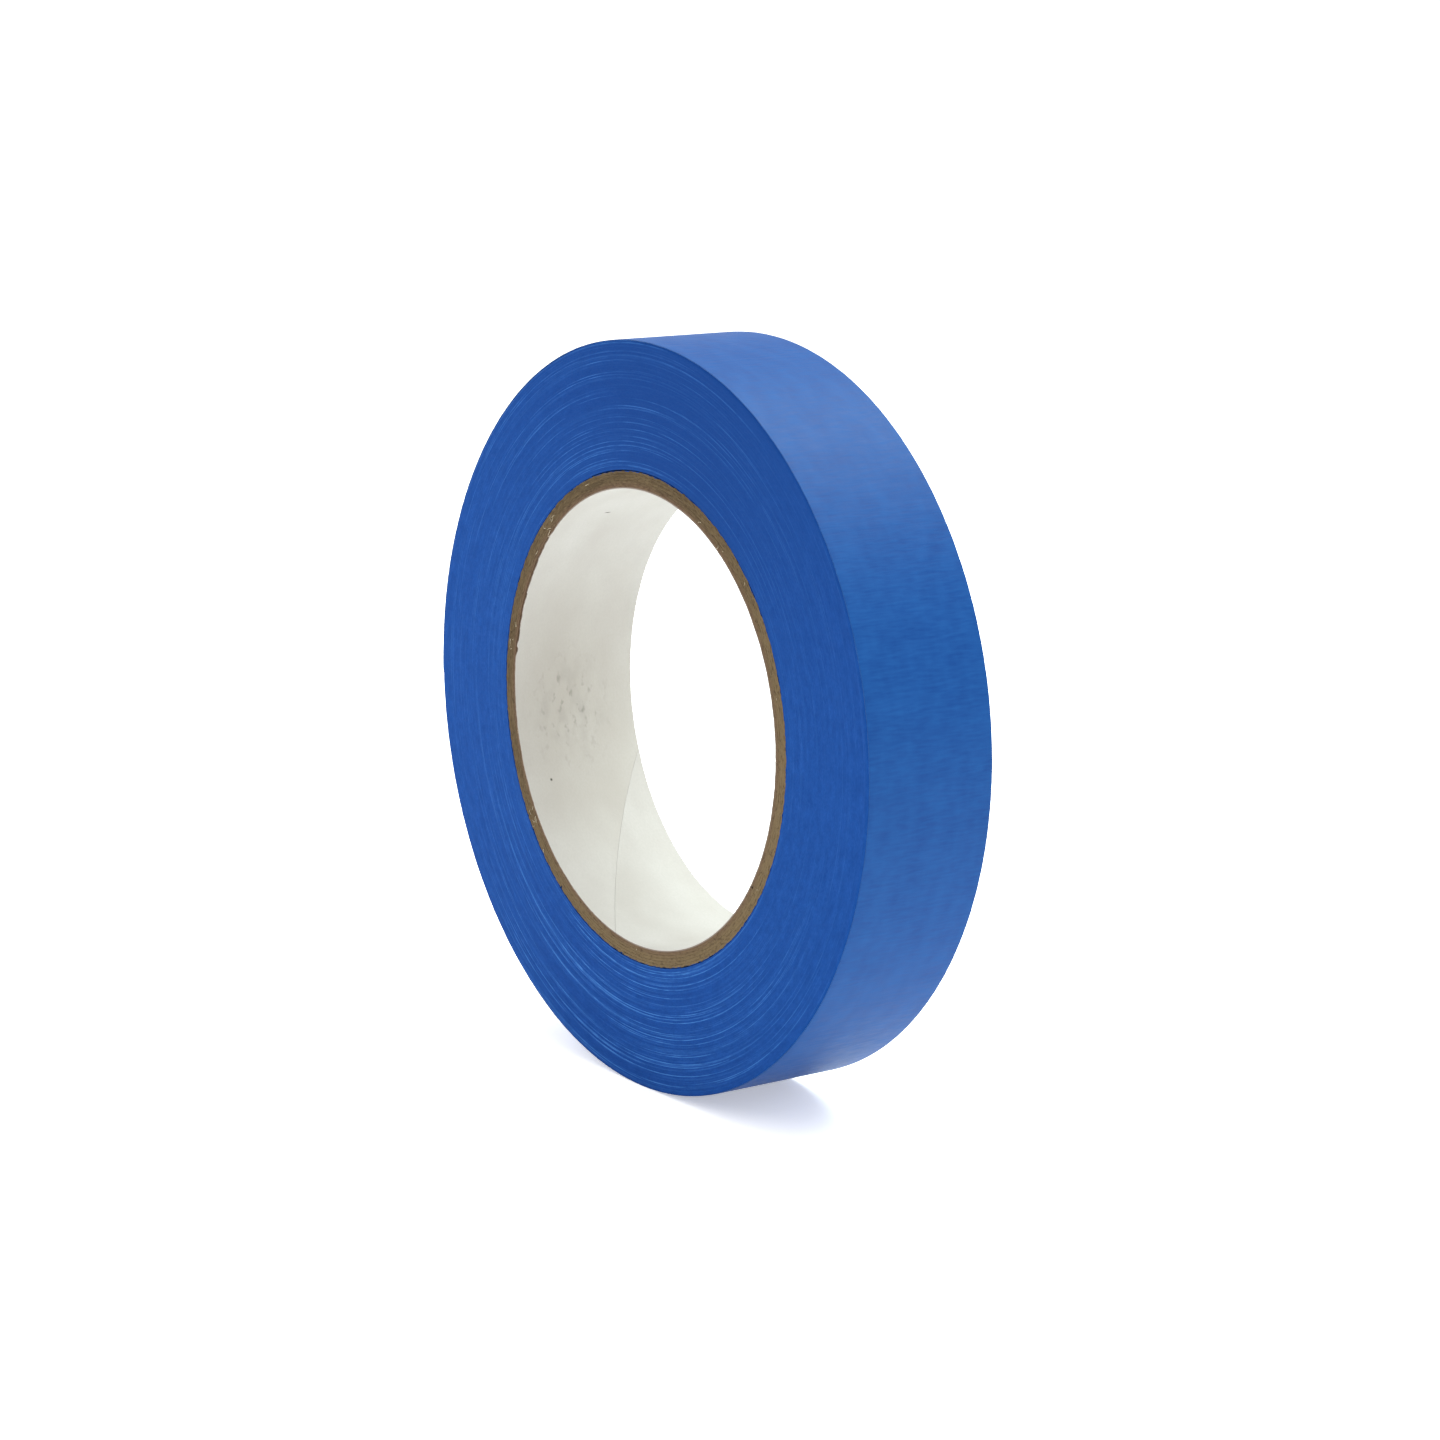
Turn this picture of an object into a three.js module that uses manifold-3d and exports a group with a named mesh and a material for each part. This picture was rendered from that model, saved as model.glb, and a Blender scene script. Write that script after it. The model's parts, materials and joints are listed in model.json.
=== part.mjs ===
// Masking tape roll: creped paper tape wound on a spiral-wound board core.
//
// The roll stands on its rim. Its axis lies along Y, +Z is up, and the origin is the middle of the core's
// bore. Lengths are millimetres. Angles about the axis run from +X towards +Z.
//
// The core is a paper tube: a white liner and five board plies, each a separate strip that closes on itself
// in a helical butt seam. The tape is one strip in two layers, a paper backing with an adhesive coat on its
// inner face. It is wound outwards as a spiral, and its last stretch is the free tail that a hand peels off.
// The tail is a chain of short lengths, each hinged to the one before it, because a strip bends anywhere.

import * as THREE from "three";
import { mergeVertices } from "three/addons/utils/BufferGeometryUtils.js";
import Module from "manifold-3d";

const wasm = await Module();
wasm.setup();

// Driving dimensions.
const TAPE_WIDTH = 24;
const CORE_BORE = 76.2;

const LINER_THICKNESS = 0.25;
const BOARD_THICKNESS = 0.49;
const BOARD_PLIES = 5;
const GLUE_LINE = 0.04;

const SEAM_GAP = 0.4;
const SEAM_LEAD = 147; // how far a seam travels along the axis in one turn
const LINER_SEAM_AT = 230; // degrees, where the liner's seam crosses the middle of the width
const SEAM_STAGGER = 67; // degrees from one ply's seam to the next
const CUTTER_STEPS = 24; // straight steps of a seam's cutter along its helix
const CUTTER_OVERRUN = 1; // how far a cutter stands out of each end of the core
const CUTTER_DEPTH = 3; // a cutter's depth, as a multiple of the ply it goes through

const BACKING_THICKNESS = 0.095;
const ADHESIVE_THICKNESS = 0.025;
const LAYER_GAP = 0.01; // clearance between layers that are separate solids
const WOUND_TURNS = 150;

const PEEL_LINE_AT = 109.5; // degrees, where the tail leaves the roll: just past the top, at the back
const TAIL_LENGTHS = 8;
const TAIL_LENGTH_ANGLE = 9; // degrees of the roll that one length of the tail covers
const TAIL_CLEARANCE = 0.15; // between neighbouring lengths, wider than the strip is thick: they fold to 90

const FACETS = 120; // flats round a full turn, one of them level at the bottom of the roll

// Sizes that follow from them.
const TURN = 2 * Math.PI;
const FACET = TURN / FACETS;
const LAYER_PITCH = BACKING_THICKNESS + ADHESIVE_THICKNESS + 2 * LAYER_GAP;
const PLY_PITCH = BOARD_THICKNESS + GLUE_LINE;
const BOARD_INNER = CORE_BORE / 2 + LINER_THICKNESS + GLUE_LINE;
const TAPE_INNER = BOARD_INNER + BOARD_PLIES * PLY_PITCH;
const OUTER_TURN_FROM = WOUND_TURNS * TURN; // winding angles, counted from the tape's inner end
const TAIL_FROM = OUTER_TURN_FROM + TURN;
const TAIL_STEP = THREE.MathUtils.degToRad(TAIL_LENGTH_ANGLE);

const white = new THREE.MeshStandardMaterial({ color: 0xdedbd2, roughness: 0.8, metalness: 0 });
const kraft = new THREE.MeshStandardMaterial({ color: 0x86714f, roughness: 0.95, metalness: 0 });
const crepe = new THREE.MeshStandardMaterial({ color: 0x2658a6, roughness: 0.7, metalness: 0 });
const adhesive = new THREE.MeshStandardMaterial({ color: 0x5c86c4, roughness: 0.3, metalness: 0 });

// The strip's layers, with their height above its inner face.
const LAYERS = [
  { name: "adhesive", height: 0, thickness: ADHESIVE_THICKNESS, material: adhesive },
  { name: "backing", height: ADHESIVE_THICKNESS + LAYER_GAP, thickness: BACKING_THICKNESS, material: crepe },
];

// A geometry as a manifold-3d solid, and back.
function solidFrom(geometry) {
  const bare = geometry.clone().deleteAttribute("normal").deleteAttribute("uv");
  const merged = mergeVertices(bare);
  const vertProperties = merged.attributes.position.array;
  const triVerts = new Uint32Array(merged.index.array);
  return new wasm.Manifold(new wasm.Mesh({ numProp: 3, vertProperties, triVerts }));
}

function geometryFrom(solid) {
  const mesh = solid.getMesh();
  const geometry = new THREE.BufferGeometry();
  geometry.setAttribute("position", new THREE.BufferAttribute(mesh.vertProperties, mesh.numProp));
  geometry.setIndex(new THREE.BufferAttribute(mesh.triVerts, 1));
  geometry.computeVertexNormals();
  return geometry;
}

// A plain ring round the axis, the full width of the tape.
function ring(innerRadius, thickness) {
  const outerRadius = innerRadius + thickness;
  const half = TAPE_WIDTH / 2;
  const section = [
    new THREE.Vector2(innerRadius, -half),
    new THREE.Vector2(outerRadius, -half),
    new THREE.Vector2(outerRadius, half),
    new THREE.Vector2(innerRadius, half),
    new THREE.Vector2(innerRadius, -half),
  ];
  return new THREE.LatheGeometry(section, FACETS, FACET / 2);
}

// A thin slab through a ply along its seam: a box with its length laid along a helix.
function seamCutter(innerRadius, thickness, seamAt) {
  const middle = innerRadius + thickness / 2;
  const length = TAPE_WIDTH + 2 * CUTTER_OVERRUN;
  const slab = new THREE.BoxGeometry(SEAM_GAP, length, CUTTER_DEPTH * thickness, 1, CUTTER_STEPS, 1);
  const point = slab.attributes.position;
  for (let i = 0; i < point.count; i++) {
    const along = point.getY(i);
    const radius = middle + point.getZ(i);
    const angle = THREE.MathUtils.degToRad(seamAt) - (along / SEAM_LEAD) * TURN - point.getX(i) / middle;
    point.setXYZ(i, radius * Math.cos(angle), along, radius * Math.sin(angle));
  }
  return slab;
}

// One ply of the core: a ring with the gap of its butt seam.
function ply(innerRadius, thickness, seamAt) {
  const whole = solidFrom(ring(innerRadius, thickness));
  const cutter = solidFrom(seamCutter(innerRadius, thickness, seamAt));
  return geometryFrom(whole.subtract(cutter));
}

// The radius of the tape's inner face at a winding angle, and points along the spiral at some height above
// that face. The points fall on the corners between facets, so that layers above each other stay parallel.
function windingRadius(winding) {
  return TAPE_INNER + (LAYER_PITCH * winding) / TURN;
}

function windingPoint(winding, height) {
  const angle = THREE.MathUtils.degToRad(PEEL_LINE_AT) + winding;
  const radius = windingRadius(winding) + height;
  return new THREE.Vector2(radius * Math.cos(angle), radius * Math.sin(angle));
}

function spiral(from, to, height, trim = 0) {
  const corners = Math.round((to - from) / FACET);
  const points = [windingPoint(from + trim, height)];
  for (let i = 1; i < corners; i++) points.push(windingPoint(from + i * FACET, height));
  points.push(windingPoint(to - trim, height));
  return points;
}

// A flat outline in the XZ plane, given the tape's width along Y.
function acrossWidth(shape) {
  const body = new THREE.ExtrudeGeometry(shape, { depth: TAPE_WIDTH, bevelEnabled: false });
  return body.rotateX(Math.PI / 2).translate(0, TAPE_WIDTH / 2, 0);
}

// A stretch of one layer of the tape. Its two ends stop short by the trim, an angle.
function stretch(from, to, { height, thickness }, trim = 0) {
  const outer = spiral(from, to, height + thickness, trim);
  const inner = spiral(from, to, height, trim).reverse();
  return acrossWidth(new THREE.Shape([...outer, ...inner]));
}

// Every turn but the last, wound tight: a spiral outside and a spiral inside, each with one small step.
function woundTurns() {
  const shape = new THREE.Shape(spiral(OUTER_TURN_FROM - TURN, OUTER_TURN_FROM, LAYER_PITCH - LAYER_GAP));
  shape.holes.push(new THREE.Path(spiral(0, TURN, 0)));
  return acrossWidth(shape);
}

function named(name, geometry, material) {
  const mesh = new THREE.Mesh(geometry, material);
  mesh.name = name;
  return mesh;
}

function makeCore() {
  const core = new THREE.Group();
  core.add(named("core_liner", ply(CORE_BORE / 2, LINER_THICKNESS, LINER_SEAM_AT), white));
  for (let i = 0; i < BOARD_PLIES; i++) {
    const seamAt = LINER_SEAM_AT + SEAM_STAGGER * (i + 1);
    const board = ply(BOARD_INNER + i * PLY_PITCH, BOARD_THICKNESS, seamAt);
    core.add(named(`core_board_ply_${i + 1}`, board, kraft));
  }
  return core;
}

// The hinge at a winding angle: in the middle of the strip's thickness.
function hingeAt(winding) {
  const point = windingPoint(winding, LAYER_PITCH / 2 - LAYER_GAP);
  return new THREE.Vector3(point.x, 0, point.y);
}

// One length of the tail, in a group that stands at its own hinge.
function makeTailLength(index) {
  const from = TAIL_FROM + index * TAIL_STEP;
  const hinge = hingeAt(from);
  const trim = TAIL_CLEARANCE / 2 / hinge.length();
  const length = new THREE.Group();
  for (const layer of LAYERS) {
    const body = stretch(from, from + TAIL_STEP, layer, trim).translate(-hinge.x, 0, -hinge.z);
    length.add(named(`tail_${layer.name}_${index + 1}`, body, layer.material));
  }
  return { length, hinge };
}

// The whole tail: each length hangs from the one before it, as it does when it is peeled.
function makeTail() {
  const tail = new THREE.Group();
  let parent = tail;
  let parentHinge = new THREE.Vector3();
  for (let i = 0; i < TAIL_LENGTHS; i++) {
    const { length, hinge } = makeTailLength(i);
    length.position.subVectors(hinge, parentHinge);
    parent.add(length);
    parent = length;
    parentHinge = hinge;
  }
  return tail;
}

function makeTape() {
  const tape = new THREE.Group();
  tape.add(named("tape_wound_turns", woundTurns(), crepe));
  for (const layer of LAYERS) {
    const turn = stretch(OUTER_TURN_FROM, TAIL_FROM, layer, TAIL_CLEARANCE / 2 / windingRadius(TAIL_FROM));
    tape.add(named(`outer_turn_${layer.name}`, turn, layer.material));
  }
  tape.add(makeTail());
  return tape;
}

const roll = new THREE.Group();
roll.add(makeCore(), makeTape());

export default roll;
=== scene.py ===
"""Masking tape roll: its looks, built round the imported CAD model.

Lengths are metres. The roll's axis is Y, and angles about it run from +X towards +Z. A winding is the
angle that the tape has turned since its inner end, so the tape's inner face is a spiral, with a radius
for each winding. A piece's lay says, at each point, where the material's grain is looked up.
"""

import json
import math
from dataclasses import dataclass

import bmesh
import bpy
import numpy as np
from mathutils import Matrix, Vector


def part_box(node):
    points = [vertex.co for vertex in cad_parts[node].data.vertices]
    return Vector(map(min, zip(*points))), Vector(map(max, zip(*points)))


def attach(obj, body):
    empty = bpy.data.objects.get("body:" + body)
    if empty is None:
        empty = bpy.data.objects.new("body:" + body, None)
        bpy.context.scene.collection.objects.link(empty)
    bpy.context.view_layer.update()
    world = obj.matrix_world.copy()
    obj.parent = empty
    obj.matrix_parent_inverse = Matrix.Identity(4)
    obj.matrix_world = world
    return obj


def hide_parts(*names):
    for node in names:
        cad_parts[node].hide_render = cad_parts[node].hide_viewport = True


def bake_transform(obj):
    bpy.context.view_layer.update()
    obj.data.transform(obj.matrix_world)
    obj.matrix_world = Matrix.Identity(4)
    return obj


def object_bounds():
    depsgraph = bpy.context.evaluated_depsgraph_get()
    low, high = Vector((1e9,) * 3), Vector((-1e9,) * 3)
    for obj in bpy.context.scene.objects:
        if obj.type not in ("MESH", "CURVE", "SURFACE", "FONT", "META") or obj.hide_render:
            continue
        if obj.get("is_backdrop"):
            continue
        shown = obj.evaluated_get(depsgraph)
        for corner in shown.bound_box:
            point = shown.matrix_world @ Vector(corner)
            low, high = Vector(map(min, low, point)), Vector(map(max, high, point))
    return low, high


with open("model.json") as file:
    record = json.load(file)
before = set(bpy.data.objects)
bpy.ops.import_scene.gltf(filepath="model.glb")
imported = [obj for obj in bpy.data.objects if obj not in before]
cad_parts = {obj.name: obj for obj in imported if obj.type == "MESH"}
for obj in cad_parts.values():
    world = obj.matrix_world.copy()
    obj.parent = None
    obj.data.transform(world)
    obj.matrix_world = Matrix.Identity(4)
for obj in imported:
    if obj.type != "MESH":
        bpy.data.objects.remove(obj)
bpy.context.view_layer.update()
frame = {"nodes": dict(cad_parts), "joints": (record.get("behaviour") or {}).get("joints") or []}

MM = 0.001
TURN = 2 * math.pi
LONG = 4096  # rows of noise, enough not to repeat within a turn of tape
PAST_ZERO = 8  # cells that are added across the roll, so that none is below zero
ANY_DEPTH = 1.0  # a reach that leaves out none of a layer's depth

# The tape, as the CAD model has it.
PITCH = 0.14 * MM
ADHESIVE_THICKNESS = 0.025 * MM
BACKING_THICKNESS = 0.095 * MM
LAYER_GAP = 0.01 * MM
BACKING_HEIGHT = ADHESIVE_THICKNESS + LAYER_GAP

# The tape's edges.
SHOULDER_DEPTH = 0.12 * MM  # the outermost turns' edges are rubbed back by up to this
SHOULDER_REACH = 0.9 * MM
ROUNDING_DEPTH = 0.03 * MM
ROUNDING_REACH = 0.5 * MM
EDGE_RAGGEDNESS = 0.02 * MM
TOOTH_PITCH = 1.6 * MM  # the free end was cut on a dispenser's teeth
TOOTH_DEPTH = 0.6 * MM
FRAY_DEPTH = 0.12 * MM
CREASED_AT = math.radians(40)
CREASED_REACH = math.radians(24)

# The rings that the turns' edges draw on the roll's sides: a small relief, with painted light on proud
# turns and painted shade on sunken ones, as if in the gaps between turns.
SIDE_RECESS = 0.03 * MM
TURN_CELLS = 13.37  # how often one turn's edge changes; a whole number would line up with the next turn's
SINGLE_RELIEF = 0.010 * MM
GROUP_RELIEF = 0.006 * MM
BROAD_RELIEF = 0.012 * MM
# The middle of the painted ring shading, which paints neither light nor shade.
NEUTRAL_RING_SHADING = 0.5
RINGS_ALL_ROUND = 0.12  # how plainly the rings show, both their relief and their painted light and shade
RINGS_PLAINER = (  # plainer at these angles, where light grazes the sides, in relief and in painted light and shade: at an angle, as far as a reach from it, by an amount
    (math.radians(115), math.radians(95), 0.25),
    (math.radians(262), math.radians(80), 0.88),
)

# The core's plies.
SEAM_LEAD = 147 * MM  # how far a seam travels along the axis in one turn
LINER_SEAM_AT = math.radians(230)
SEAM_STAGGER = math.radians(67)
BOARD_PLIES = 5
BOARD_SEAM_GAP = 0.4 * MM
LINER_SEAM_GAP = 0.06 * MM
BOARD_RECESS = 0.1 * MM  # the core is this much shorter than the tape is wide, at each side

# How finely each surface is made.
SIDE_STEPS = 300
BACKING_STEPS = 2400
ADHESIVE_STEPS = 600
PEEL_STEPS = 9600
TREAD_COLUMNS = 48
END_COLUMNS = 240
CORE_STEPS = 1500
EDGE_COLUMNS = 5
BOARD_COLUMNS = 16
LINER_COLUMNS = 64
FIBRE_ROWS = 8
FIBRE_SIDES = 5
SHARP_ANGLE = math.radians(50)

# Marks of making and handling, and where light and shade are painted on.
TEAR_TO = math.radians(173)
TEAR_DEPTH = 0.3 * MM
TEAR_LENGTH = math.radians(55)
TEAR_STEP = math.radians(1.2)
TEAR_FADE = math.radians(35)
SCUFF_AT = math.radians(188)
SCUFF_Y = -1.5 * MM
# Painted shade: the roll's sides are painted darker round this angle, near their top.
SIDE_SHADE_PAINTED_AT = math.radians(78)
SIDE_SHADE_PAINTED_REACH = 62 * MM
# Painted light and shade: the board's cut faces are painted lighter towards this angle, on the lower +X
# side, and darker away from it.
BOARD_PAINTED_LIGHT_AT = math.radians(310)
NICKS = (  # the angle, the place across, and how far each reaches along and across
    (math.radians(125.3), -3.3 * MM, (0.2 * MM, 0.8 * MM)),
    (math.radians(206.0), -7.2 * MM, (0.35 * MM, 0.3 * MM)),
)
FIBRE_RADIUS = 0.045 * MM
TUFTS = (  # how many fibres, the middle angle, and how far they lie from it
    (12, 0.0, math.pi),
    (7, math.radians(133), math.radians(3)),
    (6, math.radians(213), math.radians(4)),
    (4, math.radians(167), math.radians(4)),
)

# The camera, at the photograph's angle.
CAMERA_AZIMUTH = math.radians(55.2175)
CAMERA_ELEVATION = math.radians(11.3964)
CAMERA_DISTANCE = 0.6138
CAMERA_LENS = 92.56
CAMERA_SHIFT = (0.0150, -0.0053)
SENSOR_WIDTH = 36

# The studio. The floor glows like a lit table, which keeps the roll's shadow faint.
SURROUND_STRENGTH = 1.1
FLOOR_GLOW = 0.4
FLOOR_REACH = 6.0


# ---- Measures taken from the CAD model.


def radii(node):
    """The least and greatest distance of a CAD node's corners from the axis."""
    distances = [math.hypot(v.co.x, v.co.z) for v in frame["nodes"][node].data.vertices]
    return min(distances), max(distances)


joints = {joint["child"]: joint for joint in frame["joints"]}
TAIL_LENGTHS = len(joints)


def hinge_point(index):
    return Vector(joints[f"tail_{index}"]["pos_m"])


def hinge_angle(index):
    point = hinge_point(index)
    return math.atan2(point.z, point.x)


HALF_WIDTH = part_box("tape_wound_turns")[1].y
BORE_RADIUS = radii("core_liner")[0]
BOARD_RADIUS = radii(f"core_board_ply_{BOARD_PLIES}")[1]
TAPE_INNER = radii("tape_wound_turns")[0]
PEEL_AT = hinge_angle(1)
TAIL_STEP = hinge_angle(2) - PEEL_AT
TURNS = round((math.hypot(hinge_point(1).x, hinge_point(1).z) - TAPE_INNER) / PITCH)
TAIL_FROM = TURNS * TURN
OUTER_TURN_FROM = TAIL_FROM - TURN
TAPE_MIDDLE = TAPE_INNER + PITCH * TURNS / 2


# ---- Shapes.


def smooth(t):
    """0 up to 0, 1 from 1 on, and a smooth rise between them."""
    t = np.clip(t, 0, 1)
    return t * t * (3 - 2 * t)


def noise(u, v, seed, rows=512, columns=64):
    """Smooth noise from -1 to 1 over unit cells, which repeats after that many rows and columns."""
    lattice = np.random.default_rng(seed).uniform(-1, 1, (rows, columns))
    u, v = np.broadcast_arrays(u, v)
    row, column = np.floor(u).astype(int), np.floor(v).astype(int)
    across, along = smooth(u - row), smooth(v - column)

    def corner(a, b):
        return lattice[(row + a) % rows, (column + b) % columns]

    near = corner(0, 0) * (1 - across) + corner(1, 0) * across
    far = corner(0, 1) * (1 - across) + corner(1, 1) * across
    return near * (1 - along) + far * along


def near_angle(angle, middle, reach):
    """1 at an angle round the axis, falling to 0 at that reach from it."""
    away = np.abs(np.angle(np.exp(1j * (angle - middle))))
    return smooth(1 - away / reach)


def polar(radius, angle, y):
    """Points round the axis."""
    radius, angle, y = np.broadcast_arrays(radius, angle, y)
    return np.stack([radius * np.cos(angle), y, radius * np.sin(angle)], axis=-1)


def winding_radius(winding):
    return TAPE_INNER + PITCH * winding / TURN


def cap(size, edge):
    """Faces that close a ring of that many points. A flat ring takes one face, and its edge is 0. A thin,
    bent one takes strips: edge is its steps on each short side, and its long sides have equal steps."""
    if not edge:
        return [[*range(size)]]
    long = size // 2 - edge
    ends = [[*range(edge + 2), size - 1], [*range(edge + long - 1, 2 * edge + long + 2)]]
    return ends + [[edge + k, edge + k + 1, size - k - 1, size - k] for k in range(1, long - 1)]


def quads(a, b, c, d):
    return np.stack(np.broadcast_arrays(a, b, c, d), axis=-1).reshape(-1, 4).tolist()


def sweep(rings, edge=0):
    """Faces of a closed body through rows of points, each row a closed ring, with a cap on each end."""
    rows, size = rings.shape[:2]
    row = np.arange(rows - 1)[:, None] * size
    here = np.arange(size)
    after = (here + 1) % size
    faces = quads(row + here, row + after, row + size + after, row + size + here)
    for first in (0, (rows - 1) * size):
        faces += [[first + k for k in face] for face in cap(size, edge)]
    return faces


def piece(name, points, faces, lay, material, nodes):
    """A closed piece that stands for some CAD nodes. Its lay gives each point a place. For a layer of paper
    that is how far along it, how far across it, and how deep."""
    mesh = bpy.data.meshes.new(name)
    mesh.from_pydata(points.reshape(-1, 3).tolist(), [], faces)
    work = bmesh.new()
    work.from_mesh(mesh)
    bmesh.ops.recalc_face_normals(work, faces=work.faces)
    work.to_mesh(mesh)
    work.free()
    attribute = mesh.attributes.new("lay", "FLOAT_VECTOR", "POINT")
    attribute.data.foreach_set("vector", lay.astype(np.float32).ravel())
    mesh.materials.append(material)
    mesh.shade_smooth()
    mesh.set_sharp_from_angle(angle=SHARP_ANGLE)
    made = bpy.data.objects.new(name, mesh)
    bpy.context.scene.collection.objects.link(made)
    if nodes:
        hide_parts(*nodes)
    return made


# ---- Materials.


def node(tree, kind, inputs=None, **settings):
    made = tree.nodes.new(kind)
    for key, value in settings.items():
        setattr(made, key, value)
    for key, value in (inputs or {}).items():
        if isinstance(value, bpy.types.NodeSocket):
            tree.links.new(value, made.inputs[key])
        else:
            made.inputs[key].default_value = value
    return made


def srgb(red, green, blue):
    """A colour given in 0 to 255 as a linear one."""
    parts = [c / 255 for c in (red, green, blue)]
    return [c / 12.92 if c <= 0.04045 else ((c + 0.055) / 1.055) ** 2.4 for c in parts] + [1.0]


class Look:
    """A material under way, with short ways to the nodes that every layer of paper needs."""

    def __init__(self, name, roughness, specular):
        self.material = bpy.data.materials.new(name)
        self.material.use_nodes = True
        self.tree = self.material.node_tree
        self.shader = self.tree.nodes["Principled BSDF"]
        self.shader.inputs["Roughness"].default_value = roughness
        self.shader.inputs["Specular IOR Level"].default_value = specular
        self.lay = node(self.tree, "ShaderNodeAttribute", attribute_name="lay").outputs["Vector"]
        self.height = None

    def vector(self, operation, a, b=(0, 0, 0)):
        return node(self.tree, "ShaderNodeVectorMath", {0: a, 1: b}, operation=operation)

    def grain(self, along, across, deep=1.0 * MM, detail=3.0):
        """Noise with grains of that length along, across and through the layer."""
        place = self.vector("MULTIPLY", self.lay, [1 / along, 1 / across, 1 / deep]).outputs[0]
        inputs = {"Vector": place, "Scale": 1.0, "Detail": detail}
        return node(self.tree, "ShaderNodeTexNoise", inputs).outputs["Fac"]

    def near(self, middle, reach):
        """1 at a place in the layer, falling to 0 at that reach from it each way."""
        away = self.vector("SUBTRACT", self.lay, middle).outputs[0]
        away = self.vector("MULTIPLY", away, [1 / r for r in reach]).outputs[0]
        return self.spread(self.vector("LENGTH", away).outputs["Value"], 0.2, 1.0, 1.0, 0.0)

    def plus(self, a, b):
        return node(self.tree, "ShaderNodeMath", {0: a, 1: b}, operation="ADD").outputs[0]

    def times(self, a, b):
        return node(self.tree, "ShaderNodeMath", {0: a, 1: b}, operation="MULTIPLY").outputs[0]

    def spread(self, value, low, high, to_low=0.0, to_high=1.0):
        """Maps low..high of a value to another range, and clamps it there."""
        ends = {"From Min": low, "From Max": high, "To Min": to_low, "To Max": to_high}
        return node(self.tree, "ShaderNodeMapRange", {"Value": value, **ends}).outputs["Result"]

    def mix(self, factor, a, b):
        inputs = {"Factor": factor, 6: a, 7: b}
        return node(self.tree, "ShaderNodeMix", inputs, data_type="RGBA").outputs[2]

    def bump(self, height, distance, strength=1.0):
        inputs = {"Height": height, "Distance": distance, "Strength": strength}
        made = node(self.tree, "ShaderNodeBump", inputs)
        if self.height is not None:
            self.tree.links.new(self.height, made.inputs["Normal"])
        self.height = made.outputs["Normal"]

    def finish(self, colour, roughness=None):
        self.tree.links.new(colour, self.shader.inputs["Base Color"])
        if roughness is not None:
            self.tree.links.new(roughness, self.shader.inputs["Roughness"])
        self.tree.links.new(self.height, self.shader.inputs["Normal"])
        return self.material


def creped_paper():
    """The backing: wrinkles across the tape, with paler crests, over fibres and soft clouds of colour."""
    look = Look("creped_paper", 0.5, 0.09)
    wrinkles = look.grain(0.45 * MM, 3.5 * MM)
    fibres = look.grain(0.12 * MM, 0.3 * MM, detail=4.0)
    clouds = look.grain(5 * MM, 3 * MM, detail=4.0)
    look.bump(wrinkles, 0.02 * MM)
    look.bump(fibres, 0.006 * MM)
    colour = look.mix(look.spread(clouds, 0.3, 0.7), srgb(6, 53, 111), srgb(12, 61, 119))
    colour = look.mix(look.spread(wrinkles, 0.35, 0.75, 0.0, 0.35), colour, srgb(24, 78, 135))
    return look.finish(colour, look.spread(wrinkles, 0.3, 0.7, 0.45, 0.56))


def tape_edge():
    """The slit edges of the wound turns. Their lay is the x and z of the point at their angle on the circle
    half way up the wound tape, and then their distance from the axis."""
    look = Look("tape_edge", 0.7, 0.05)
    # Painted light and shade of the side rings, given for each face.
    painted_ring_shading = node(look.tree, "ShaderNodeAttribute", attribute_name="painted_ring_shading").outputs["Fac"]
    fibres = look.grain(0.5 * MM, 0.5 * MM, 0.15 * MM, detail=3.0)
    mottle = look.grain(2.2 * MM, 2.2 * MM, 1.0 * MM, detail=4.0)
    look.bump(fibres, 0.015 * MM)
    colour = look.mix(look.spread(mottle, 0.3, 0.7), srgb(5, 55, 119), srgb(15, 64, 132))
    colour = look.mix(look.spread(fibres, 0.3, 0.7, 0.0, 0.5), colour, srgb(5, 47, 108))
    # Painted shade: the side is painted darker near its top.
    top = [TAPE_MIDDLE * math.cos(SIDE_SHADE_PAINTED_AT), TAPE_MIDDLE * math.sin(SIDE_SHADE_PAINTED_AT), TAPE_MIDDLE]
    darker = look.near(top, [SIDE_SHADE_PAINTED_REACH, SIDE_SHADE_PAINTED_REACH, ANY_DEPTH])
    colour = look.mix(look.times(darker, 0.8), colour, srgb(3, 48, 108))
    # Painted highlight: turns above the middle value are painted lighter, in broken streaks. Painted shade:
    # turns below it are painted darker.
    broken = look.spread(look.grain(2.5 * MM, 2.5 * MM, 0.3 * MM, detail=2.0), 0.35, 0.6, 0.35, 1.0)
    colour = look.mix(look.times(look.spread(painted_ring_shading, NEUTRAL_RING_SHADING, 1.0), broken), colour, srgb(54, 103, 167))
    colour = look.mix(look.spread(painted_ring_shading, 0.0, NEUTRAL_RING_SHADING, 0.7, 0.0), colour, srgb(3, 44, 106))
    return look.finish(colour, look.spread(fibres, 0.3, 0.7, 0.62, 0.75))


def adhesive_film():
    """The adhesive: a thin film, combed along the tape, that the blue backing shows through."""
    look = Look("adhesive_film", 0.3, 0.5)
    flow = look.grain(6 * MM, 0.8 * MM, detail=2.0)
    look.bump(flow, 0.01 * MM)
    colour = look.mix(look.spread(flow, 0.2, 0.8), srgb(40, 88, 150), srgb(50, 97, 160))
    return look.finish(colour, look.spread(flow, 0.3, 0.7, 0.44, 0.58))


def on_bore(angle, y):
    """The liner's lay at a place on the bore. The lay starts at the seam and runs once round, so it meets
    an angle below the seam's one turn on."""
    return [BORE_RADIUS * (angle + TURN), y, BORE_RADIUS]


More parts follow.
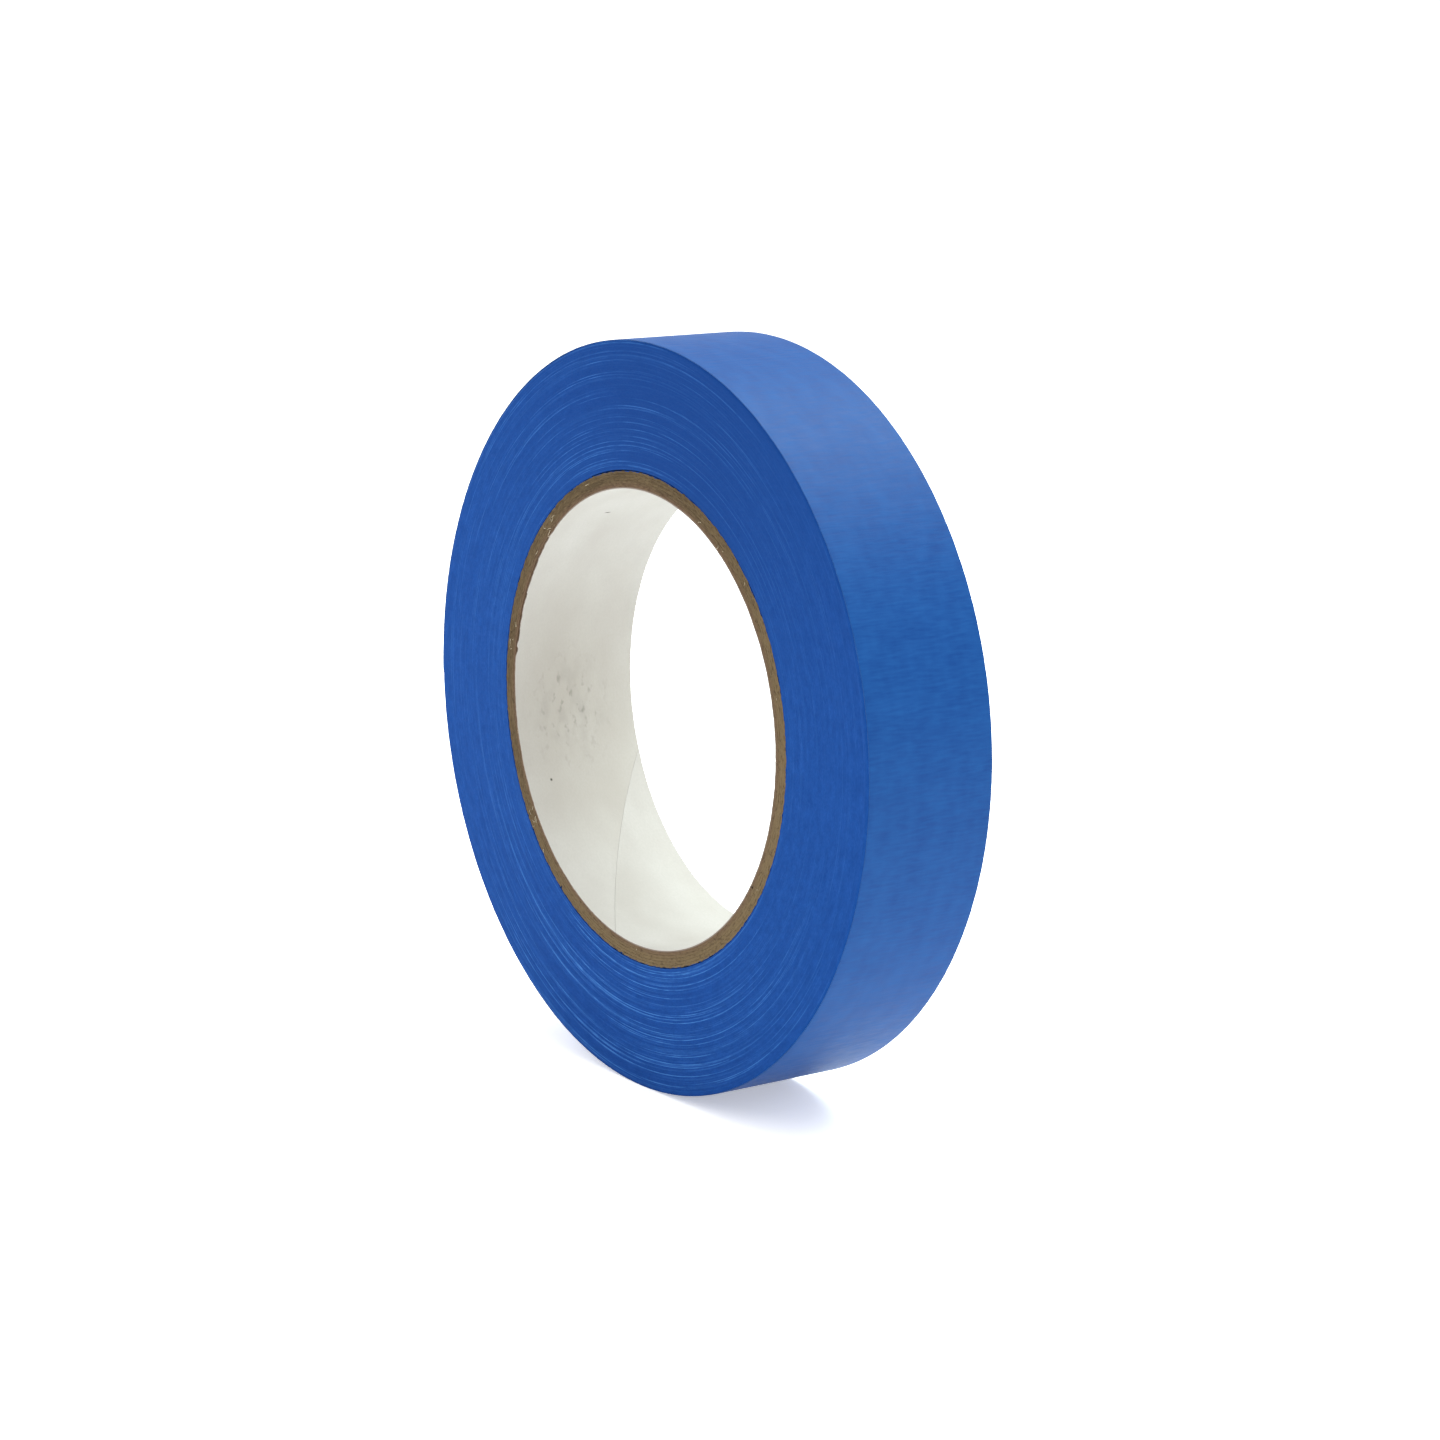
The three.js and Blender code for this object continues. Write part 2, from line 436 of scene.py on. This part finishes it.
def liner_paper():
    """The white liner: soft clouds, with a handled patch, dirt rubbed into its middle, and two nicks."""
    look = Look("liner_paper", 0.8, 0.2)
    fibres = look.grain(0.5 * MM, 0.35 * MM, detail=4.0)
    clouds = look.grain(14 * MM, 9 * MM, detail=3.0)
    look.bump(fibres, 0.012 * MM)
    radius = node(look.tree, "ShaderNodeSeparateXYZ", {"Vector": look.lay}).outputs["Z"]
    colour = look.mix(look.spread(clouds, 0.3, 0.7), srgb(164, 159, 154), srgb(173, 169, 165))
    colour = look.mix(look.spread(fibres, 0.35, 0.7, 0.0, 0.3), colour, srgb(155, 153, 146))
    handled = look.near(on_bore(SCUFF_AT, SCUFF_Y), [34 * MM, 26 * MM, ANY_DEPTH])
    colour = look.mix(look.times(handled, 0.35), colour, srgb(150, 143, 130))
    rubbed = look.near(on_bore(SCUFF_AT, SCUFF_Y), [13 * MM, 10 * MM, ANY_DEPTH])
    specks = look.spread(look.grain(2.0 * MM, 1.2 * MM, detail=2.0), 0.58, 0.76, 0.0, 0.6)
    smudges = look.spread(look.grain(4.0 * MM, 2.5 * MM, detail=3.0), 0.45, 0.75, 0.0, 0.25)
    for dirt in (specks, smudges):
        colour = look.mix(look.times(rubbed, dirt), colour, srgb(99, 97, 89))
    for at, y, reach in NICKS:
        nick = look.near(on_bore(at, y), [*reach, ANY_DEPTH])
        colour = look.mix(nick, colour, srgb(48, 44, 38))
    cut = look.spread(radius, BORE_RADIUS + 0.02 * MM, BORE_RADIUS + 0.1 * MM, 0.0, 0.9)
    return look.finish(look.mix(cut, colour, srgb(104, 86, 72)))


def core_board():
    """The grey board. It is fibrous, painted lighter towards one side and darker away from it as painted
    light and shade, redder at the bore, and blue where the knife dragged colour from the tape onto its rim."""
    look = Look("core_board", 0.9, 0.1)
    parts = node(look.tree, "ShaderNodeSeparateXYZ", {"Vector": look.lay}).outputs
    along, radius = parts["X"], parts["Z"]
    fibres = look.grain(0.8 * MM, 0.2 * MM, 0.12 * MM, detail=5.0)
    flecks = look.grain(0.8 * MM, 0.3 * MM, 0.4 * MM, detail=2.0)
    clouds = look.grain(9 * MM, 1 * MM, 2 * MM, detail=3.0)
    look.bump(fibres, 0.08 * MM)
    colour = look.mix(look.spread(clouds, 0.3, 0.7), srgb(62, 49, 33), srgb(84, 68, 48))
    # Painted light and shade: lighter towards one side of the board, darker away from it.
    turned = look.plus(along, -BOARD_PAINTED_LIGHT_AT * BORE_RADIUS)
    turned = look.times(turned, 1 / BORE_RADIUS)
    towards = node(look.tree, "ShaderNodeMath", {0: turned}, operation="COSINE").outputs[0]
    colour = look.mix(look.spread(towards, -0.6, 0.8, 0.0, 0.75), colour, srgb(104, 87, 63))
    inside = look.spread(radius, BORE_RADIUS + 0.25 * MM, BORE_RADIUS + 1.3 * MM, 0.8, 0.0)
    colour = look.mix(inside, colour, srgb(88, 66, 54))
    colour = look.mix(look.spread(fibres, 0.35, 0.7, 0.0, 0.45), colour, srgb(110, 95, 70))
    colour = look.mix(look.spread(flecks, 0.55, 0.7, 0.0, 0.6), colour, srgb(63, 49, 34))
    notches = look.times(look.grain(1.3 * MM, 1.0, 1.0, detail=3.0), 0.7 * MM)
    dragged = look.spread(look.plus(radius, notches), BOARD_RADIUS + 0.28 * MM, BOARD_RADIUS + 0.32 * MM)
    return look.finish(look.mix(dragged, colour, srgb(12, 58, 122)))


def paper_fibre():
    look = Look("paper_fibre", 0.9, 0.1)
    shade = look.grain(0.6 * MM, 0.6 * MM)
    look.bump(shade, 0.01 * MM)
    return look.finish(look.mix(look.spread(shade, 0.3, 0.7), srgb(158, 142, 114), srgb(194, 184, 164)))


# ---- The tape.


def shoulder(radius):
    """How far the turns' edges are rubbed back near the rim."""
    from_rim = winding_radius(TAIL_FROM) + PITCH - radius
    return SHOULDER_DEPTH * np.clip(1 - from_rim / SHOULDER_REACH, 0, 1) ** 2


def wound_turns(material):
    """Every turn but the last. On the two sides, each turn's edge lies at its own small offset and is
    painted to match it, with painted light on a proud edge and painted shade on a sunken one, which draws
    rings there. They are plainest where light grazes the sides, and faint on the quarter that faces +X."""
    count = TURNS * SIDE_STEPS
    last = count - SIDE_STEPS
    turns = np.arange(count + 1) / SIDE_STEPS
    angle = PEEL_AT + turns * TURN
    radius = winding_radius(turns * TURN)
    lined = RINGS_ALL_ROUND
    for at, reach, amount in RINGS_PLAINER:
        lined = lined + amount * near_angle(angle, at, reach)
    sides, painted_ring_shadings = [], []
    for side, seed in ((-1, 11), (1, 23)):
        single = noise(turns * TURN_CELLS, 0, seed, LONG)
        group = noise(radius / (0.25 * MM), turns * 13, seed + 1, columns=13)
        broad = noise(radius / (2.5 * MM), turns * 16, seed + 2, columns=16)
        relief = lined * (SINGLE_RELIEF * single + GROUP_RELIEF * group) + BROAD_RELIEF * broad
        sides.append(polar(radius, angle, side * (HALF_WIDTH - SIDE_RECESS + relief - shoulder(radius))))
        # Painted light and shade that follows each turn's offset; a few turns get a strong painted
        # highlight.
        bright = smooth(3 * single - 1.8)
        shade = NEUTRAL_RING_SHADING + lined * (0.16 * single + 0.12 * group + 0.48 * bright)
        painted_ring_shadings.append(shade[:last])
    points = np.concatenate(sides)
    faces = []
    strip = np.arange(last)
    for base in (0, count + 1):
        first = base + strip
        faces += quads(first, first + 1, first + 1 + SIDE_STEPS, first + SIDE_STEPS)
    for rim in (np.arange(SIDE_STEPS + 1), np.arange(last, count + 1)):
        after = np.roll(rim, -1)
        faces += quads(rim, after, after + count + 1, rim + count + 1)
    round_roll = np.stack([TAPE_MIDDLE * np.cos(angle), TAPE_MIDDLE * np.sin(angle), radius], axis=-1)
    lay = np.concatenate([round_roll, round_roll])
    made = piece("wound_turns", points, faces, lay, material, ["tape_wound_turns"])
    # The sides' faces carry the painted light and shade; the rims get the middle value.
    painted_ring_shading = np.full(len(made.data.polygons), NEUTRAL_RING_SHADING, np.float32)
    painted_ring_shading[: 2 * last] = np.concatenate(painted_ring_shadings)
    made.data.attributes.new("painted_ring_shading", "FLOAT", "FACE").data.foreach_set("value", painted_ring_shading)
    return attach(made, "roll")


def crepe(winding, y):
    """The crepe's height, above and below the paper's plane. One patch of it is more wrinkled."""
    along = winding * winding_radius(TAIL_FROM)
    fine = noise(along / (0.7 * MM), y / (5 * MM) + PAST_ZERO, 41, LONG)
    broad = noise(along / (2.2 * MM), y / (9 * MM) + PAST_ZERO, 43, LONG)
    creased = near_angle(PEEL_AT + winding, CREASED_AT, CREASED_REACH) * smooth(y / HALF_WIDTH)
    crease = noise(along / (1.1 * MM), y / (3 * MM) + PAST_ZERO, 47, LONG)
    return MM * (0.006 * fine + 0.008 * broad + 0.02 * creased * crease)


def teeth(y):
    """How far the free end is cut back by a dispenser's teeth, as an angle of winding."""
    away = np.abs(2 * ((y / TOOTH_PITCH) % 1) - 1)
    fray = 0.5 + 0.5 * noise(y / (0.3 * MM) + 100, 0, 53)
    return (TOOTH_DEPTH * away + FRAY_DEPTH * fray) / winding_radius(TAIL_FROM)


def tape_stretch(start, end, layer, columns, under_columns, steps, cut=np.zeros_like):
    """Rings of points round a stretch of one of the tape's layers, and their lay. Its end is cut back by
    an angle for each place across the tape."""
    rows = round((end - start) / TURN * steps) + 1
    run = np.linspace(0, 1, rows)[:, None]

    def face(across, depth):
        winding = start + (end - start - cut(across * HALF_WIDTH)) * run
        along = winding * winding_radius(TAIL_FROM)
        ragged = EDGE_RAGGEDNESS * noise(along / (1.1 * MM), np.where(across < 0, 3, 9), 61, LONG)
        y = across * (HALF_WIDTH - SHOULDER_DEPTH + ragged)
        height = layer.low + depth
        if depth:
            rounded = np.clip(1 - (1 - np.abs(across)) * HALF_WIDTH / ROUNDING_REACH, 0, 1) ** 2
            height = height + crepe(winding, y) - ROUNDING_DEPTH * rounded
        points = polar(winding_radius(winding) + height, PEEL_AT + winding, y)
        return points, np.stack(np.broadcast_arrays(along, y, depth), axis=-1)

    over = face(np.linspace(-1, 1, columns + 1)[None, :], layer.thickness)
    under = face(np.linspace(1, -1, under_columns + 1)[None, :], 0.0)
    rings, lay = (np.roll(np.concatenate(pair, axis=1), 1, axis=1) for pair in zip(over, under))
    return rings, lay


@dataclass
class Layer:
    name: str
    slot: str
    low: float
    thickness: float
    steps: int


LAYERS = (
    Layer("adhesive", "adhesive", 0.0, ADHESIVE_THICKNESS, ADHESIVE_STEPS),
    Layer("backing", "crepe_tape", BACKING_HEIGHT, BACKING_THICKNESS, BACKING_STEPS),
)


def outer_turn(materials):
    for layer in LAYERS:
        rings, lay = tape_stretch(OUTER_TURN_FROM, TAIL_FROM, layer, TREAD_COLUMNS, 1, layer.steps)
        name = f"outer_turn_{layer.name}"
        made = piece(f"{name}_skin", rings, sweep(rings), lay, materials[layer.name], [name])
        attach(made, "roll")


def tail(materials):
    """Each piece runs from the middle of one length to the middle of the next, across the hinge between
    them. The first starts at the peel line, and the last is the free end."""
    for index in range(1, TAIL_LENGTHS + 2):
        free = index > TAIL_LENGTHS
        start = TAIL_FROM + max(0, index - 1.5) * TAIL_STEP
        end = TAIL_FROM + min(TAIL_LENGTHS, index - 0.5) * TAIL_STEP
        columns = END_COLUMNS if free else TREAD_COLUMNS
        cut = teeth if free else np.zeros_like
        steps = PEEL_STEPS if index == 1 else BACKING_STEPS
        for layer in LAYERS:
            rings, lay = tape_stretch(start, end, layer, columns, columns, steps, cut)
            stands_for = f"tail_{layer.name}_{min(index, TAIL_LENGTHS)}"
            name = f"tail_{layer.name}_end" if free else f"tail_{layer.name}_bend_{index}"
            faces = sweep(rings, edge=1)
            made = piece(name, rings, faces, lay, materials[layer.name], [stands_for])
            if free:
                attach(made, f"tail_{TAIL_LENGTHS}")
            else:
                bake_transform(made)


# ---- The core.


def ply(inner, outer, seam_at, gap, cut_edge, columns, relief=None, frayed=None):
    """Rings of points round a ply, and their lay. The ply runs once round and meets itself at a helical
    seam. cut_edge gives how far an edge lies inside the roll's side, relief moves the inner face outwards,
    and frayed takes the outer face in at the edges."""
    half_gap = gap / 2 / inner
    run = np.linspace(half_gap, TURN - half_gap, CORE_STEPS + 1)[:, None]
    up = inner + (outer - inner) * np.linspace(0, 1, EDGE_COLUMNS + 1)[None, :]
    across = np.linspace(-1, 1, columns + 1)[None, 1:-1]
    outline = [(-1 + 0 * up, up), (across, outer + 0 * across), (1 + 0 * up, up[:, ::-1])]
    outline.append((across[:, ::-1], inner + 0 * across))
    side, radius = (np.concatenate(part, axis=1) for part in zip(*outline))
    at_edge = np.abs(side) == 1
    about = seam_at - side * HALF_WIDTH / SEAM_LEAD * TURN + run
    y = side * (HALF_WIDTH - np.where(at_edge, cut_edge(about, radius, side), 0))
    angle = seam_at - y / SEAM_LEAD * TURN + run
    lay = np.stack(np.broadcast_arrays(angle * BORE_RADIUS, y, radius), axis=-1)
    if relief:
        radius = radius + np.where(radius == inner, relief(angle, y), 0)
    if frayed:
        radius = radius - np.where(at_edge & (radius == outer), frayed(angle, side), 0)
    return polar(radius, angle, y), lay


def board_plies(material):
    for index in range(BOARD_PLIES):
        name = f"core_board_ply_{index + 1}"
        inner, outer = radii(name)

        def cut_edge(angle, radius, side, seed=50 + 2 * index):
            coarse = noise(angle * inner / (1.2 * MM), radius / (0.25 * MM) + 5 * side, seed)
            fine = noise(angle * inner / (0.35 * MM), radius / (0.1 * MM) + 5 * side, seed + 1)
            return BOARD_RECESS + MM * (0.04 * coarse + 0.025 * fine)

        def frayed(angle, side):
            """Notches in the outermost ply, next to the tape."""
            notch = noise(angle * outer / (0.9 * MM), 5.5 + 3 * side, 67)
            return 0.2 * MM * smooth(2 * notch - 0.5)

        seam_at = LINER_SEAM_AT + SEAM_STAGGER * (index + 1)
        fray = frayed if index == BOARD_PLIES - 1 else None
        rings, lay = ply(inner, outer, seam_at, BOARD_SEAM_GAP, cut_edge, BOARD_COLUMNS, frayed=fray)
        faces = sweep(rings, edge=EDGE_COLUMNS)
        made = piece(f"{name}_cut", rings, faces, lay, material, [name])
        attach(made, "roll")


def liner(material):
    inner, outer = radii("core_liner")

    def torn(angle, radius, side):
        """The knife tore the liner's front edge back over a stretch that ends in a ragged step."""
        into = (TEAR_TO - angle) % TURN
        stretch = smooth(into / TEAR_STEP) * smooth((TEAR_LENGTH - into) / TEAR_FADE)
        torn_here = np.where(side < 0, stretch, 0)
        rough = noise(angle * inner / (0.5 * MM), 4.5 + 3 * side, 71)
        ragged = noise(angle * inner / (1.3 * MM), 4.5 + 3 * side, 73)
        tear = torn_here * (TEAR_DEPTH + MM * (0.14 * ragged + 0.08 * rough))
        return BOARD_RECESS + tear + 0.03 * MM * (rough + ragged)

    def relief(angle, y):
        """The seam is a low ridge, and the paper has slow waves. Both stand in from the bore's wall."""
        away = np.angle(np.exp(1j * (angle - LINER_SEAM_AT + y / SEAM_LEAD * TURN))) * inner
        ridge = np.exp(-((away / (0.8 * MM)) ** 2))
        waves = noise(angle * inner / (9 * MM), y / (6 * MM) + PAST_ZERO, 79)
        return -0.04 * MM * ridge + 0.02 * MM * waves

    rings, lay = ply(inner, outer, LINER_SEAM_AT, LINER_SEAM_GAP, torn, LINER_COLUMNS, relief=relief)
    faces = sweep(rings, edge=EDGE_COLUMNS)
    made = piece("core_liner_paper", rings, faces, lay, material, ["core_liner"])
    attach(made, "roll")


def fibre(rng, angle, radius, side):
    """Rings of points round one curled fibre that stands on the core's cut edge."""
    length = rng.uniform(0.7, 2.0) * MM
    heading = rng.uniform(0, TURN)
    curl = rng.uniform(-3.0, 3.0)
    rise = rng.uniform(0.05, 0.22) * MM
    along = np.linspace(0, 1, FIBRE_ROWS)[:, None]
    turned = heading + curl * along
    step = length / FIBRE_ROWS
    tangent = np.cumsum(step * np.cos(turned), axis=0)
    outwards = np.cumsum(step * np.sin(turned), axis=0) * 0.5
    around = np.arange(FIBRE_SIDES)[None, :] * TURN / FIBRE_SIDES
    thick = FIBRE_RADIUS * (1 - 0.6 * along)
    spot_radius = radius + outwards + thick * np.cos(around)
    spot_angle = angle + (tangent - thick * np.sin(turned) * np.cos(around) * 0.5) / radius
    y = side * (HALF_WIDTH - BOARD_RECESS + rise * smooth(along * 2) + thick * np.sin(around))
    return polar(spot_radius, spot_angle, y)


def loose_fibres(material):
    """Fibres that the knife left standing on the core's two cut edges, most of them in a few tufts."""
    rng = np.random.default_rng(97)
    inner, outer = radii("core_board_ply_1")[0], BOARD_RADIUS
    points, faces = [], []
    for side in (-1, 1):
        for count, middle, reach in TUFTS:
            for _ in range(count):
                angle = middle + rng.uniform(-reach, reach)
                rings = fibre(rng, angle, rng.uniform(inner, outer - 0.6 * MM), side)
                first = len(points) * FIBRE_ROWS * FIBRE_SIDES
                faces += [[first + k for k in face] for face in sweep(rings)]
                points.append(rings.reshape(-1, 3))
    points = np.concatenate(points)
    made = piece("core_fibres", points, faces, points, material, [])
    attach(made, "roll")


# ---- The studio.


def camera():
    data = bpy.data.cameras.new("camera")
    data.lens = CAMERA_LENS
    data.sensor_width = SENSOR_WIDTH
    data.shift_x, data.shift_y = CAMERA_SHIFT
    made = bpy.data.objects.new("camera", data)
    level = math.cos(CAMERA_ELEVATION)
    back = Vector((
        math.sin(CAMERA_AZIMUTH) * level,
        -math.cos(CAMERA_AZIMUTH) * level,
        math.sin(CAMERA_ELEVATION),
    ))
    made.location = back * CAMERA_DISTANCE
    made.rotation_mode = "QUATERNION"
    made.rotation_quaternion = (-back).to_track_quat("-Z", "Y")
    bpy.context.scene.collection.objects.link(made)
    bpy.context.scene.camera = made


def area_light(name, place, size, power, colour=(1, 1, 1)):
    data = bpy.data.lights.new(name, "AREA")
    data.energy = power
    data.color = colour
    data.size = size
    made = bpy.data.objects.new(name, data)
    made.location = place
    made.rotation_mode = "QUATERNION"
    made.rotation_quaternion = (-Vector(place)).to_track_quat("-Z", "Y")
    made.visible_camera = False
    bpy.context.scene.collection.objects.link(made)


def studio():
    world = bpy.data.worlds.new("studio")
    world.use_nodes = True
    background = world.node_tree.nodes["Background"]
    background.inputs["Color"].default_value = (1, 1, 1, 1)
    background.inputs["Strength"].default_value = SURROUND_STRENGTH
    bpy.context.scene.world = world
    bpy.context.scene.view_settings.view_transform = "Standard"
    area_light("overhead", (0.05, 0.38, 0.83), size=0.8, power=18.0, colour=(0.86, 0.98, 0.95))
    area_light("left", (-0.22, -0.25, -0.02), size=0.2, power=0.3)


def floor():
    look = Look("floor_paper", 0.9, 0.2)
    look.shader.inputs["Emission Color"].default_value = (1, 1, 1, 1)
    look.shader.inputs["Emission Strength"].default_value = FLOOR_GLOW
    place = node(look.tree, "ShaderNodeTexCoord").outputs["Object"]
    inputs = {"Vector": place, "Scale": 60.0, "Detail": 4.0}
    grain = node(look.tree, "ShaderNodeTexNoise", inputs).outputs["Fac"]
    look.bump(grain, 0.02 * MM)
    colour = look.mix(look.spread(grain, 0.3, 0.7), srgb(254, 254, 254), srgb(255, 255, 255))
    mesh = bpy.data.meshes.new("floor")
    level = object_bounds()[0].z
    corners = [(x * FLOOR_REACH, y * FLOOR_REACH, level) for x, y in ((-1, -1), (1, -1), (1, 1), (-1, 1))]
    mesh.from_pydata(corners, [], [(0, 1, 2, 3)])
    mesh.materials.append(look.finish(colour))
    made = bpy.data.objects.new("floor", mesh)
    bpy.context.scene.collection.objects.link(made)
    made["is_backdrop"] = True


# ---- The whole.

camera()
paper = {"backing": creped_paper(), "adhesive": adhesive_film()}
wound_turns(tape_edge())
outer_turn(paper)
tail(paper)
board_plies(core_board())
liner(liner_paper())
loose_fibres(paper_fibre())
floor()
studio()
